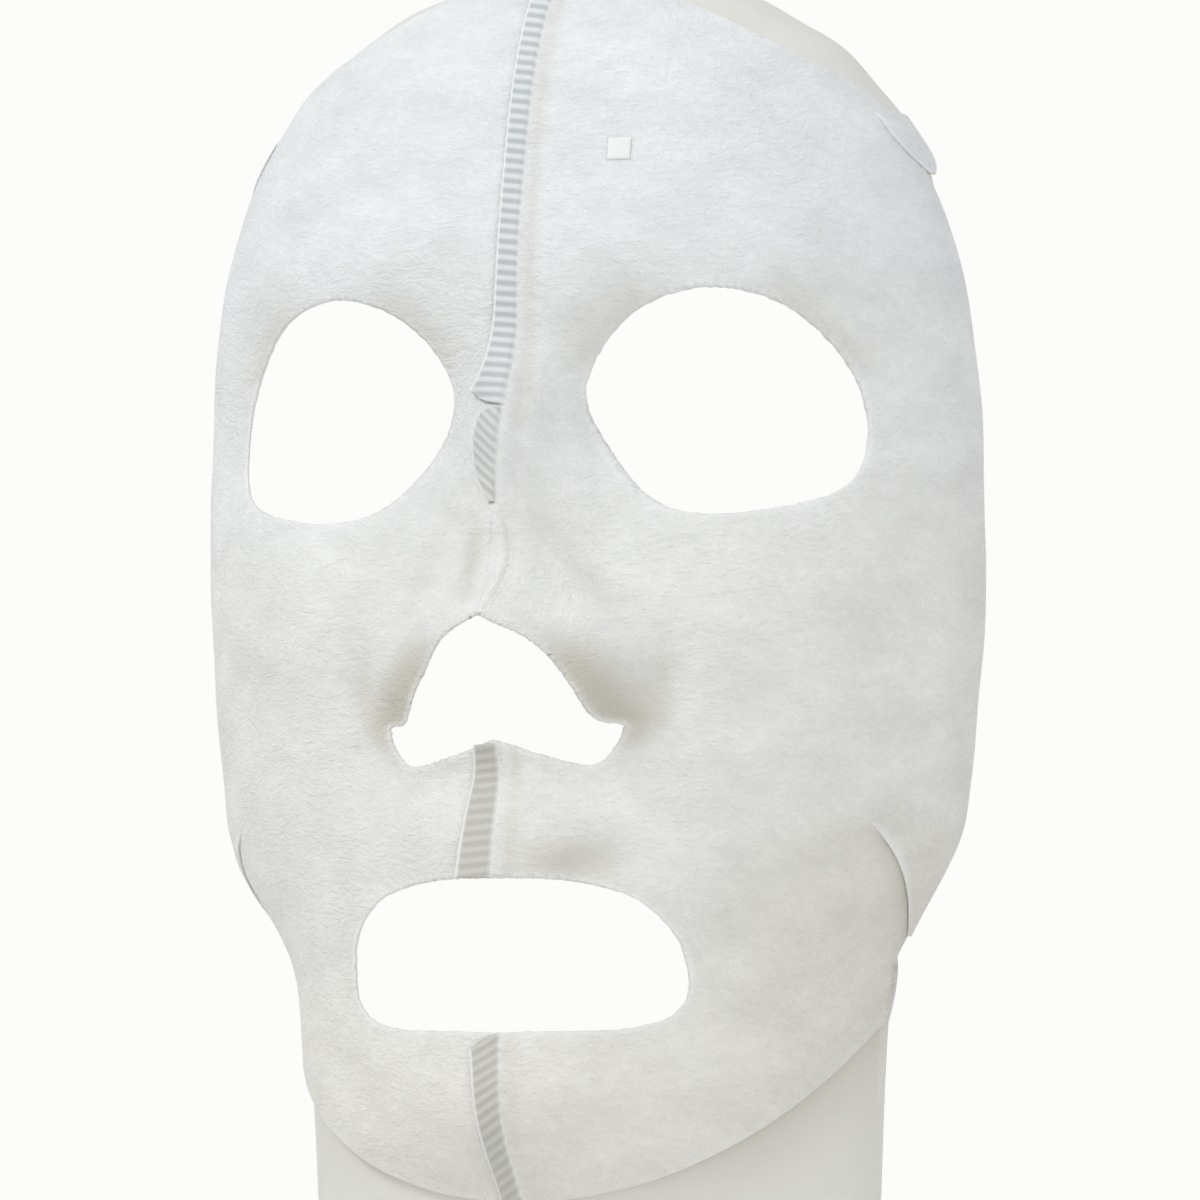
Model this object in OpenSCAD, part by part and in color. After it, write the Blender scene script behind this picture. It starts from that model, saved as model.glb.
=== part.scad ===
// Three-dimensional nonwoven face mask: two die-cut half sheets welded along a
// ribbed centre seam, over a smooth under-layer that shows as a rim and a neck.
// The face looks along -Y, +X is the wearer's left and +Z is up. The origin is
// on the wearer's midline, in the plane of the mask's open back.

/* [Form] */
// Half the width of the form at its widest level
form_half_w = 72; // [60:0.5:87]
// Depth of the form from the open back to the front, without the features
form_depth = 54; // [45:0.5:65]
// Level of the top of the form
crown_z = 118; // [98:1:142]
// Level where the form is widest
widest_z = 10; // [4:1:20]
// Half the width of the form at the corner of the jaw
jaw_half_w = 54; // [45:0.5:65]
// Level of the corner of the jaw
jaw_z = -60; // [-72:1:-56]
// Level of the lowest point of the chin
chin_z = -102; // [-123:1:-96]

/* [Features] */
// Height of the bridge of the nose over the form
bridge_rise = 9; // [7:0.5:11]
// Extra height at the tip of the nose
tip_rise = 9; // [7:0.5:11]
// Half-width of the nose at its tip
nose_spread = 15; // [12:0.5:18]
// Height of the cheeks over the form
cheek_rise = 3; // [2:0.5:4]
// Height of the lips over the form
lip_rise = 10; // [8:0.5:12]
// Height of the chin over the form
chin_rise = 6; // [5:0.5:8]

/* [Fabric] */
// Thickness of the face sheet
sheet_t = 0.8; // [0.6:0.1:1]
// Thickness of the smooth under-layer
under_t = 0.6; // [0.4:0.1:0.8]
// Clearance between two layers of fabric
layer_gap = 0.3; // [0.2:0.05:0.4]
// How far the under-layer reaches in behind the face sheet
under_lap = 9; // [7:0.5:11]
// How much of the crown shows above the face sheet
crown_show = 5; // [4:0.5:6]

/* [Eye openings] */
// Distance of the eye opening's centre from the midline
eye_x = 34.5; // [32:0.5:37]
// Level of the eye opening's centre
eye_z = 35; // [30:1:42]
// Width of the eye opening
eye_w = 45; // [37:0.5:47]
// Height of the eye opening
eye_h = 39; // [32:0.5:47]

/* [Nose opening] */
// Level of the point of the nose opening
nose_top_z = -2.5; // [-4:0.5:2]
// Height of the nose opening at the midline
nose_h = 21; // [17:0.5:25]
// Half the width of the nose opening
nose_half_w = 21.5; // [17.5:0.5:26]

/* [Mouth opening] */
// Level of the mouth opening's centre
mouth_z = -60; // [-61:1:-57]
// Width of the mouth opening
mouth_w = 60; // [50:1:72]
// Height of the mouth opening
mouth_h = 26; // [21:0.5:31]

/* [Seam] */
// Width of the folded seam flange
seam_w = 4.2; // [3.5:0.1:5.1]
// Thickness of the weld between the two half sheets
weld_t = 0.8; // [0.6:0.1:1]
// Thickness of the flange between its ribs
flange_t = 0.5; // [0.4:0.05:0.6]
// Clear space between the folded flange and the sheet
flange_gap = 0.45; // [0.3:0.05:0.6]
// Height of a rib over the flange
rib_h = 0.45; // [0.3:0.05:0.6]
// Distance from one rib to the next
rib_pitch = 1.8; // [1.5:0.1:2.2]
// Width of the pleat where the forehead seam ends
pleat_w = 7; // [5.8:0.2:8.4]
// Level of the lower end of the forehead seam
forehead_end_z = 34; // [32:1:36]
// Level of the lower end of the bridge seam
bridge_end_z = 17; // [15:1:19]

/* [Slit flaps] */
// Level of the root of the cheek flap
cheek_root_z = -36; // [-39:1:-33]
// Length of the cheek flap
cheek_flap_h = 20; // [16:1:22]
// Angle round the form where the cheek flap starts
cheek_flap_a = 61; // [58:1:66]
// Level of the root of the temple flap
temple_root_z = 88; // [85:1:90]
// Length of the temple flap
temple_flap_h = 12; // [10:1:14]
// Angle round the form where the temple flap starts
temple_flap_a = 68; // [64:1:72]

/* [Forehead square] */
// Side of the small square on the forehead
square_w = 4; // [3.3:0.1:4.8]
// Thickness of the small square
square_t = 0.3; // [0.2:0.05:0.4]
// Distance of the square from the midline
square_x = 18; // [15:0.5:21]
// Level of the square
square_z = 79; // [76:1:83]

/* [Neck cover] */
// Half the width of the neck cover at its hem
neck_half_w = 49; // [41:0.5:52]
// Distance of the neck cover's front from the open back, at its hem
neck_depth = 41; // [34:1:48]
// How far round the neck cover reaches at its hem, as an angle from the front
neck_wrap_a = 100; // [88:1:110]
// Level of the hem
hem_z = -146; // [-176:1:-140]

/* [Hidden] */

sheet_colour = [0.91, 0.92, 0.91];
under_colour = [0.87, 0.87, 0.85];
seam_colour = [0.82, 0.84, 0.86];
flap_colour = [0.88, 0.90, 0.90];

// Depth at which the outside of the under-layer lies
under_off = -sheet_t - layer_gap;
// Shape of the crown: exponents of its rounded outline
crown_p = 3.3;
crown_q = 2.2;
// The same for the depth, which stays full further up the forehead
crown_q_depth = 3;
// The flattest angle round the form that a piece reaches
rim_a = 87;
spokes_jaw = 9;
spokes_side = 9;
spokes_top = 13;
rings = 24;

// ---- the form -------------------------------------------------------------

function unit(t) = min(1, max(0, t));
function ease(t) = let (u = unit(t)) u * u * (3 - 2 * u);
function bell(t) = exp(-t * t);

// Rounded closing of the crown, 1 at the widest level and 0 at the top
function crown_fall(z, q) = z <= widest_z ? 1 :
    pow(max(1e-6, 1 - pow((z - widest_z) / (crown_z - widest_z), crown_p)), 1 / q);

// Half-width of the form at a level: it narrows to the jaw, then to the neck
function half_w(z) = form_half_w * crown_fall(z, crown_q)
    - (form_half_w - jaw_half_w) * (z > widest_z ? 0 :
        0.42 * pow(unit((widest_z - z) / (widest_z - jaw_z)), 1.6)
        + 0.58 * ease((jaw_z + 26 - z) / 34))
    - 0.06 * max(0, jaw_z - z);

// Depth of the form at a level, before the features
function depth(z) = form_depth * crown_fall(z, crown_q_depth) - 10 * pow(unit((jaw_z - 14 - z) / 32), 2);

// Height of the nose along the midline, and its half-width
function nose_rise(z) =
    bridge_rise * ease((eye_z + 15 - z) / 22) * (1 - ease((nose_top_z - 13 - z) / 16))
    + tip_rise * bell((z - nose_top_z + 4) / 10);
function nose_spread_at(z) = nose_spread - 7 * ease((z + 14) / 42);

// The features as smooth hills and hollows on the form
function relief(x, z) = let (s = abs(x))
    nose_rise(z) * bell(s / nose_spread_at(z))
    + 4 * bell((s - nose_half_w + 7) / 6) * bell((z - nose_top_z + 16) / 8)
    + 2 * bell((z - eye_z - 26) / 10) * bell((s - 24) / 22)
    - 10 * bell((s - 21) / 15) * bell((z - eye_z + 2) / 15)
    - 5 * bell((s - 55) / 14) * bell((z - eye_z) / 18)
    + cheek_rise * bell((s - 39) / 17) * bell((z + 4) / 20)
    + lip_rise * bell(s / 26) * bell((z - mouth_z - 12) / 23)
    + chin_rise * bell(s / 21) * bell((z - chin_z - 16) / 13);

// Outward direction of the form's surface at (x, z), scaled by the cosine of
// the angle round the form so that it stays finite at the rim
function outward(x, z) =
    let (d = 0.4, a = half_w(z), b = depth(z))
    let (u = min(0.9995, abs(x) / a), c = sqrt(1 - u * u))
    let (da = (half_w(z + d) - half_w(z - d)) / (2 * d))
    let (db = (depth(z + d) - depth(z - d)) / (2 * d))
    let (rx = (relief(x + d, z) - relief(x - d, z)) / (2 * d))
    let (rz = (relief(x, z + d) - relief(x, z - d)) / (2 * d))
    let (n = [sign(x) * b * u / a - c * rx, -c, -(db * c * c + b * u * u * da / a) - c * rz])
    n / norm(n);

// A point on the form at (x, z), raised off its surface
function on_form(x, z, off) =
    let (u = min(0.9995, abs(x) / half_w(z)))
    let (fade = pow(unit((1 - u) * 6), 0.5))
    [x, -depth(z) * sqrt(1 - u * u) - relief(x, z) * fade, z] + off * outward(x, z);

// The same by the angle round the form, for the pieces at its sides
function round_form(angle, z, off) = on_form(half_w(z) * sin(angle), z, off);

// ---- outlines -------------------------------------------------------------

// Lower edge of the face sheet: the jaw, from the chin to the corner
function jaw_edge(a) = [half_w(jaw_z) * sin(rim_a) * sin(a), chin_z + (jaw_z - chin_z) * (1 - cos(a))];

// Upper edge of a layer round the crown, drawn in by a share of its size
function crown_edge(b, inset) =
    let (k = 1 - 0.002 - inset * pow(sin(b), 2) / (crown_z - widest_z))
    [form_half_w * k * pow(cos(b), 2 / crown_q), widest_z + (crown_z - widest_z) * k * pow(sin(b), 2 / crown_p)];

// Edge of the left half sheet from the chin, up the side and over to the top
function sheet_edge() = concat(
    [for (i = [0:spokes_jaw]) jaw_edge(90 * i / spokes_jaw)],
    [for (i = [1:spokes_side]) let (z = jaw_z + (widest_z - jaw_z) * i / spokes_side) [half_w(z) * sin(rim_a), z]],
    [for (i = [1:spokes_top]) crown_edge(89.9 * i / spokes_top, crown_show)]);

// Closed smooth curve through corner points, by Catmull and Rom's rule
function smooth_loop(p, steps) = let (n = len(p))
    [for (i = [0:n - 1]) for (j = [0:steps - 1])
        let (a = p[(i + n - 1) % n], b = p[i], c = p[(i + 1) % n], d = p[(i + 2) % n], t = j / steps)
        0.5 * (2 * b + (c - a) * t + (2 * a - 5 * b + 4 * c - d) * t * t + (3 * b - a - 3 * c + d) * t * t * t)];

// Outline of the left eye opening: round above, flatter below
function eye_outline() = smooth_loop([for (p = [[-0.5, 0.02], [-0.42, 0.26], [-0.24, 0.43], [0, 0.5],
    [0.24, 0.43], [0.42, 0.22], [0.5, -0.04], [0.48, -0.29], [0.36, -0.42], [0.05, -0.5], [-0.2, -0.45], [-0.38, -0.26]])
    [eye_x + p[0] * eye_w, eye_z + p[1] * eye_h]], 3);

// Outline of the left half of the nose opening: a hood with a hooked wing
function nose_outline() = concat([[-1, nose_top_z + 0.4]], [for (p = [[0, 0], [0.3, -0.15], [0.5, -0.33], [0.68, -0.6],
    [0.82, -0.84], [1, -0.87], [0.93, -1.04], [0.76, -1.2], [0.4, -1.13], [0, -1]])
    [p[0] * nose_half_w, nose_top_z + p[1] * nose_h]], [[-1, nose_top_z - nose_h]]);

// Outline of the left half of the mouth opening, flatter below
function mouth_outline() = concat([[-1, mouth_z + mouth_h * 0.5]], [for (p = [[0, 0.5], [0.25, 0.5], [0.55, 0.46], [0.78, 0.36],
    [0.95, 0.14], [1, -0.1], [0.99, -0.28], [0.89, -0.41], [0.66, -0.48], [0.35, -0.49], [0, -0.5]])
    [p[0] * mouth_w / 2, mouth_z + p[1] * mouth_h]], [[-1, mouth_z - mouth_h * 0.5]]);

// ---- builders -------------------------------------------------------------

// Faces of a closed skin over a grid of rows by cols points, inner then outer
function skin_faces(rows, cols) = let (n = rows * cols)
    concat(
        [for (r = [0:rows - 2]) for (c = [0:cols - 2]) for (f = [0, 1])
            let (a = r * cols + c, b = a + 1, d = a + cols, e = d + 1)
            f == 0 ? [a, b, e] : [a, e, d]],
        [for (r = [0:rows - 2]) for (c = [0:cols - 2]) for (f = [0, 1])
            let (a = n + r * cols + c, b = a + 1, d = a + cols, e = d + 1)
            f == 0 ? [a, e, b] : [a, d, e]],
        [for (r = [0:rows - 2]) for (c = [0, cols - 1]) for (f = [0, 1])
            let (a = r * cols + c, d = a + cols)
            c == 0 ? (f == 0 ? [a, d, n + d] : [a, n + d, n + a])
                : (f == 0 ? [a, n + d, d] : [a, n + a, n + d])],
        [for (c = [0:cols - 2]) for (r = [0, rows - 1]) for (f = [0, 1])
            let (a = r * cols + c, b = a + 1)
            r == 0 ? (f == 0 ? [a, n + b, b] : [a, n + a, n + b])
                : (f == 0 ? [a, b, n + b] : [a, n + b, n + a])]);

// A layer of fabric on the form over a grid of [x, z] places
module layer(grid, off_in, off_out) {
    flat = [for (row = grid) for (p = row) p];
    polyhedron(
        points = concat([for (p = flat) on_form(p[0], p[1], off_in)], [for (p = flat) on_form(p[0], p[1], off_out)]),
        faces = skin_faces(len(grid), len(grid[0])), convexity = 8);
}

// A layer given by two grids of points in space
module skin(inner, outer) {
    polyhedron(
        points = concat([for (row = inner) for (p = row) p], [for (row = outer) for (p = row) p]),
        faces = skin_faces(len(inner), len(inner[0])), convexity = 8);
}

// A prism along Y over an outline in X and Z, as wedges round its middle
module cutter(outline, centre) {
    n = len(outline);
    for (i = [0:n - 1]) hull() {
        rotate([90, 0, 0]) linear_extrude(height = form_depth * 2)
            polygon([centre, outline[i], outline[(i + 1) % n]]);
    }
}

// ---- pieces ---------------------------------------------------------------

// A point of the half sheet, with the welded edge kept flat at x0
function on_sheet(p, x0, off) = let (q = on_form(p[0], p[1], off))
    [p[0] <= x0 + 0.001 ? x0 : max(x0, q[0]), q[1], q[2]];

// The left half sheet, spokes from a point on the nose out to the sheet's edge
module half_sheet() {
    edge = sheet_edge();
    x0 = weld_t / 2;
    hub_z = nose_top_z - nose_h * 0.45;
    grid = [for (e = edge) [for (k = [0:rings]) let (u = k / rings,
        s = 0.05 + 0.95 * (0.5 * sin(90 * u) + 0.5 * u * u * (3 - 2 * u)))
        [x0 + (max(e[0], x0) - x0) * s, hub_z + (e[1] - hub_z) * s]]];
    difference() {
        skin(
            [for (row = grid) [for (p = row) on_sheet(p, x0, -sheet_t)]],
            [for (row = grid) [for (p = row) on_sheet(p, x0, 0)]]);
        cutter(eye_outline(), [eye_x, eye_z]);
        cutter(nose_outline(), [-0.5, nose_top_z - nose_h * 0.9]);
        cutter(mouth_outline(), [-0.5, mouth_z]);
    }
}

// One run of the centre seam: a weld between the half sheets, and a ribbed
// flange folded over to the wearer's right
module seam_run(z_from, z_to, widths, ribbed) {
    n = max(2, round(abs(z_to - z_from) / rib_pitch)) * 2;
    rows = [for (i = [0:n]) let (t = i / n, z = z_from + (z_to - z_from) * t,
        w = widths[0] + (widths[1] - widths[0]) * pow(t, widths[2]),
        top = flange_gap + flange_t + (ribbed && i % 2 == 1 ? rib_h : 0))
        [[weld_t / 2, -sheet_t], [weld_t / 2, top], [-w, top], [-w, flange_gap],
            [-weld_t / 2, flange_gap], [-weld_t / 2, -sheet_t]]];
    pts = [for (i = [0:n]) let (z = z_from + (z_to - z_from) * i / n)
        for (q = rows[i]) let (p = on_form(0, z, q[1]), e = on_form(q[0], z, q[1])) [q[0], q[0] < -weld_t ? e[1] : p[1], q[0] < -weld_t ? e[2] : p[2]]];
    polyhedron(points = pts, faces = concat(
        [for (i = [0:n - 1]) for (j = [0:5]) for (f = [0, 1])
            let (a = i * 6 + j, b = i * 6 + (j + 1) % 6)
            f == 0 ? [a, b + 6, b] : [a, a + 6, b + 6]],
        [[0, 1, 4], [0, 4, 5], [1, 2, 3], [1, 3, 4]],
        [for (f = [[0, 4, 1], [0, 5, 4], [1, 3, 2], [1, 4, 3]]) [for (v = f) v + n * 6]]), convexity = 6);
}

module face_sheet_right() { color(sheet_colour) mirror([1, 0, 0]) half_sheet(); }
module face_sheet_left() { color(sheet_colour) half_sheet(); }

module forehead_seam() {
    color(seam_colour) seam_run(crown_z - crown_show - 1, forehead_end_z, [seam_w, pleat_w, 5], true);
}
module bridge_seam() {
    color(seam_colour) seam_run(forehead_end_z - layer_gap, bridge_end_z, [seam_w, seam_w * 0.6, 1], true);
}
module nose_seam() {
    color(seam_colour) seam_run(bridge_end_z - layer_gap, nose_top_z + 0.6, [1.2, 1.2, 1], false);
}
module lip_seam() {
    color(seam_colour) seam_run(nose_top_z - nose_h - 0.4, mouth_z + mouth_h / 2 + 0.4, [seam_w * 0.8, seam_w * 1.4, 1], true);
}
module chin_seam() {
    color(seam_colour) seam_run(mouth_z - mouth_h / 2 - 0.4, chin_z, [seam_w * 1.2, seam_w * 0.7, 1], true);
}

// Smooth band of the under-layer over the crown, from temple to temple
module crown_band() {
    n = 30;
    low = 20;
    grid = [for (i = [0:n]) let (b = low + (180 - 2 * low) * i / n, m = b > 90 ? -1 : 1, bb = min(b, 180 - b))
        let (outer = crown_edge(bb, 0), inner = crown_edge(bb, crown_show + under_lap))
        [for (k = [0:4]) let (t = sin(90 * (0.3 + 0.7 * k / 4)), t0 = sin(27))
            let (p = inner + (outer - inner) * (t - t0) / (1 - t0)) [m * p[0], p[1]]]];
    color(under_colour) layer(grid, under_off - under_t, under_off);
}

// Smooth band of the under-layer down one side, from the temple to the jaw
module side_band() {
    top = crown_edge(20, 0)[1] - 1;
    n = 16;
    color(under_colour) skin(
        [for (i = [0:n]) let (z = top + (jaw_z + 6 - top) * i / n) [for (k = [0:3]) round_form(rim_a + 1.8 - 14 * k / 3, z, under_off - under_t)]],
        [for (i = [0:n]) let (z = top + (jaw_z + 6 - top) * i / n) [for (k = [0:3]) round_form(rim_a + 1.8 - 14 * k / 3, z, under_off)]]);
}
module side_band_left() { side_band(); }
module side_band_right() { mirror([1, 0, 0]) side_band(); }

// Outside of the neck cover: from inside the jaw, back under the chin and down
// to the hem. t runs from -1 at one side to 1 at the other, v from top to hem.
function neck_at(t, v) =
    let (e = jaw_edge(rim_a * abs(t)), a = neck_wrap_a * t, u = 1 - v)
    let (b = sign(t) * asin(min(1, e[0] / half_w(e[1]))))
    let (top = round_form(b, e[1] + 5, under_off), turn = round_form(b, e[1] - 1, under_off - 1))
    let (low = [neck_half_w * sin(a), -neck_depth * cos(a), hem_z])
    let (mid = [(neck_half_w + 2) * sin(a), -(neck_depth + 2) * cos(a), chin_z - 10])
    top * u * u * u + turn * 3 * v * u * u + mid * 3 * v * v * u + low * v * v * v;
function neck_normal(t, v) =
    let (across = neck_at(min(1, t + 0.01), v) - neck_at(max(-1, t - 0.01), v))
    let (down = neck_at(t, min(1, v + 0.01)) - neck_at(t, max(0, v - 0.01)))
    let (n = cross(down, across))
    n / norm(n);
module neck_cover() {
    n = 26;
    m = 12;
    outer = [for (j = [0:m]) [for (i = [0:n]) neck_at(-1 + 2 * i / n, 1 - j / m)]];
    inner = [for (j = [0:m]) [for (i = [0:n])
        outer[j][i] - under_t * neck_normal(-1 + 2 * i / n, 1 - j / m)]];
    color(under_colour) skin(inner, outer);
}

// A pointed tongue of sheet that lies over its slit, hanging from its root
module flap(a0, root_z, h, point_a, bow) {
    n = 8;
    m = 6;
    grid = [for (j = [0:n]) let (v = 1 - j / n, z = root_z - h * v)
        let (lo = a0 + (point_a - a0) * pow(v, bow), hi = rim_a + (point_a + 2 - rim_a) * pow(v, 4))
        [for (i = [0:m]) [lo + (hi - lo) * i / m, z]]];
    color(flap_colour) skin(
        [for (row = grid) [for (p = row) round_form(p[0], p[1], layer_gap)]],
        [for (row = grid) [for (p = row) round_form(p[0], p[1], layer_gap + sheet_t)]]);
}
module cheek_flap_left() { flap(cheek_flap_a, cheek_root_z, cheek_flap_h, rim_a - 4, 1.5); }
module cheek_flap_right() { mirror([1, 0, 0]) cheek_flap_left(); }
module temple_flap_left() { flap(temple_flap_a, temple_root_z, temple_flap_h, rim_a - 7, 2.5); }
module temple_flap_right() { mirror([1, 0, 0]) temple_flap_left(); }

module forehead_square() {
    r = square_w / 2;
    color(sheet_colour) layer([for (z = [-r, 0, r]) [for (x = [-r, 0, r]) [square_x + x, square_z + z]]],
        layer_gap / 2, layer_gap / 2 + square_t);
}

face_sheet_right();
face_sheet_left();
forehead_seam();
bridge_seam();
nose_seam();
lip_seam();
chin_seam();
crown_band();
side_band_right();
side_band_left();
neck_cover();
cheek_flap_right();
cheek_flap_left();
temple_flap_right();
temple_flap_left();
forehead_square();
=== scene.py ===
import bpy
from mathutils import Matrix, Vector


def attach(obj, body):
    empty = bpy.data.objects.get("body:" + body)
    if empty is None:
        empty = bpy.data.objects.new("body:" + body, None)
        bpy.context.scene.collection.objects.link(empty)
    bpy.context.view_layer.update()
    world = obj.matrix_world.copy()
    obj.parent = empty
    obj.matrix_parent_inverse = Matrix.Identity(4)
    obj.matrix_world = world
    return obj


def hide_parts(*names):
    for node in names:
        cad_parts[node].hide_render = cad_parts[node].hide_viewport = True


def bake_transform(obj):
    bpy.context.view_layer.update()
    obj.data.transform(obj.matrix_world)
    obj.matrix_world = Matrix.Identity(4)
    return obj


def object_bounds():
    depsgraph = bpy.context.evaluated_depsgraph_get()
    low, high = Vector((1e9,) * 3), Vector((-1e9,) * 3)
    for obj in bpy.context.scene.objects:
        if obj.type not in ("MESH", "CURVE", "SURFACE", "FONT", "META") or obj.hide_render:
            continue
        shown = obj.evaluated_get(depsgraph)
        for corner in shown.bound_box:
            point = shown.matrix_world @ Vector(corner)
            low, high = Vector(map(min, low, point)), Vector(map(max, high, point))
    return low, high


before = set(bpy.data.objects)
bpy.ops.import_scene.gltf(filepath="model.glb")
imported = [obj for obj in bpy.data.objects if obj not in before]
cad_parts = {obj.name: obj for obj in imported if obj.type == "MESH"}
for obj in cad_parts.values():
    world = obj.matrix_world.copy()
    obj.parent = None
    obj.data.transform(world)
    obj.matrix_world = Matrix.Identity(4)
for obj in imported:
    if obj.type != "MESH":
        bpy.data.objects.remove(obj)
cad_box = [list(map(float, corner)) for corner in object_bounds()]

import math

import bpy
import numpy as np
from mathutils import Matrix, Vector

# ---------------------------------------------------------------------------
# Under-layer: a band over the crown, one down each side, and a neck cover that
# runs back under the chin. It is die-cut from a smooth, close nonwoven and
# tacked to the back of the face sheet at the rim. Sizes are in millimetres.
# ---------------------------------------------------------------------------

# The head form that every cloth piece lies on.
FORM_HALF_W, FORM_DEPTH = 72.0, 54.0
CROWN_Z, WIDEST_Z, JAW_Z, CHIN_Z = 118.0, 10.0, -60.0, -102.0
JAW_HALF_W = 54.0
CROWN_POWER, CROWN_ROUND, CROWN_ROUND_DEPTH = 3.3, 2.2, 3.0
EYE_Z, NOSE_TOP_Z, NOSE_HALF_W, MOUTH_Z = 35.0, -2.5, 21.5, -60.0

# How far round the form the face sheet reaches, and how much of the crown it leaves bare.
RIM_ANGLE = math.radians(87)
CROWN_SHOW = 5.0

# Thickness of the under-layer, and the place of its outer face behind the sheet's.
UNDER_T, UNDER_OFF = 0.4, -1.1

# The angle up from the side at which the crown band ends and the side bands begin.
BAND_END = math.radians(20)


def ease(t):
    """3u^2 - 2u^3, with u the value held between 0 and 1."""
    u = np.clip(t, 0, 1)
    return u * u * (3 - 2 * u)


def bell(t):
    """exp(-t^2)."""
    return np.exp(-t * t)


def crown_fall(z, roundness):
    """(1 - t^3.3)^(1/roundness), with t the way from the widest level up to the crown."""
    t = np.maximum(0, (z - WIDEST_Z) / (CROWN_Z - WIDEST_Z))
    return np.maximum(1e-6, 1 - t**CROWN_POWER) ** (1 / roundness)


def half_width(z):
    """Half-width of the form: its widest, closing to the crown, and narrowing to the jaw in a slow and a
    quick step, with a slight taper below."""
    slow = 0.42 * np.clip((WIDEST_Z - z) / (WIDEST_Z - JAW_Z), 0, 1) ** 1.6
    quick = 0.58 * ease((JAW_Z + 26 - z) / 34)
    narrowing = (FORM_HALF_W - JAW_HALF_W) * np.where(z > WIDEST_Z, 0, slow + quick)
    return FORM_HALF_W * crown_fall(z, CROWN_ROUND) - narrowing - 0.06 * np.maximum(0, JAW_Z - z)


def depth(z):
    """Depth of the form: full over most of its height, closing to the crown and drawn in under the chin."""
    return FORM_DEPTH * crown_fall(z, CROWN_ROUND_DEPTH) - 10 * np.clip((JAW_Z - 14 - z) / 32, 0, 1) ** 2


def nose_rise(z):
    """Height of the nose: a bridge that eases in and out, and a bell at the tip."""
    bridge = 9 * ease((EYE_Z + 15 - z) / 22) * (1 - ease((NOSE_TOP_Z - 13 - z) / 16))
    return bridge + 9 * bell((z - NOSE_TOP_Z + 4) / 10)


def relief(x, z):
    """The form's soft hills and hollows, each a height times two bells: one across and one up."""
    s = np.abs(x)
    return (
        nose_rise(z) * bell(s / (15 - 7 * ease((z + 14) / 42)))
        + 4 * bell((s - NOSE_HALF_W + 7) / 6) * bell((z - NOSE_TOP_Z + 16) / 8)  # sides of the nose
        + 2 * bell((z - EYE_Z - 26) / 10) * bell((s - 24) / 22)  # brow
        - 10 * bell((s - 21) / 15) * bell((z - EYE_Z + 2) / 15)  # inner corner of the eye
        - 5 * bell((s - 55) / 14) * bell((z - EYE_Z) / 18)  # temple
        + 3 * bell((s - 39) / 17) * bell((z + 4) / 20)  # cheekbone
        + 10 * bell(s / 26) * bell((z - MOUTH_Z - 12) / 23)  # mouth
        + 6 * bell(s / 21) * bell((z - CHIN_Z - 16) / 13)  # chin
    )


def outward(x, z):
    """Unit normal of the form, from the slopes of its half-width, depth and relief over a small step."""
    d = 0.4
    a, b = half_width(z), depth(z)
    u = np.minimum(0.9995, np.abs(x) / a)
    c = np.sqrt(1 - u * u)
    slope_a = (half_width(z + d) - half_width(z - d)) / (2 * d)
    slope_b = (depth(z + d) - depth(z - d)) / (2 * d)
    relief_x = (relief(x + d, z) - relief(x - d, z)) / (2 * d)
    relief_z = (relief(x, z + d) - relief(x, z - d)) / (2 * d)
    across = np.sign(x) * b * u / a - c * relief_x
    upward = -(slope_b * c * c + b * u * u * slope_a / a) - c * relief_z
    n = np.stack([across, -c, upward], -1)
    return n / np.linalg.norm(n, axis=-1, keepdims=True)


def on_form(x, z, off=0.0):
    """The point of the form at (x, z), moved off along the normal: y = -depth * sqrt(1 - (x /
    half-width)^2) - relief, with the relief fading out at the sides."""
    x, z = np.broadcast_arrays(np.asarray(x, float), np.asarray(z, float))
    u = np.minimum(0.9995, np.abs(x) / half_width(z))
    fade = np.clip((1 - u) * 6, 0, 1) ** 0.5
    p = np.stack([x, -depth(z) * np.sqrt(1 - u * u) - relief(x, z) * fade, z], -1)
    return p + np.asarray(off)[..., None] * outward(x, z)


def round_form(angle, z, off=0.0):
    """The point of the form at an angle round it, in radians from the front: x = half-width *
    sin(angle)."""
    return on_form(half_width(np.asarray(z, float)) * np.sin(angle), z, off)


def crown_edge(b, inset):
    """Rounded outline of the crown at angle b up from the side, drawn in by inset at the top: x = w *
    cos(b)^(2/2.2) and z = h * sin(b)^(2/3.3), the form's own outline."""
    k = 0.998 - inset * np.sin(b) ** 2 / (CROWN_Z - WIDEST_Z)
    x = FORM_HALF_W * k * np.maximum(0, np.cos(b)) ** (2 / CROWN_ROUND)
    return np.stack([x, WIDEST_Z + (CROWN_Z - WIDEST_Z) * k * np.sin(b) ** (2 / CROWN_POWER)], -1)


def jaw_edge(a):
    """Lower edge of the face sheet at angle a from the chin: a quarter of an ellipse up to the corner of
    the jaw."""
    reach = half_width(np.array(JAW_Z)) * np.sin(RIM_ANGLE)
    return np.stack([reach * np.sin(a), CHIN_Z + (JAW_Z - CHIN_Z) * (1 - np.cos(a))], -1)


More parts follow.
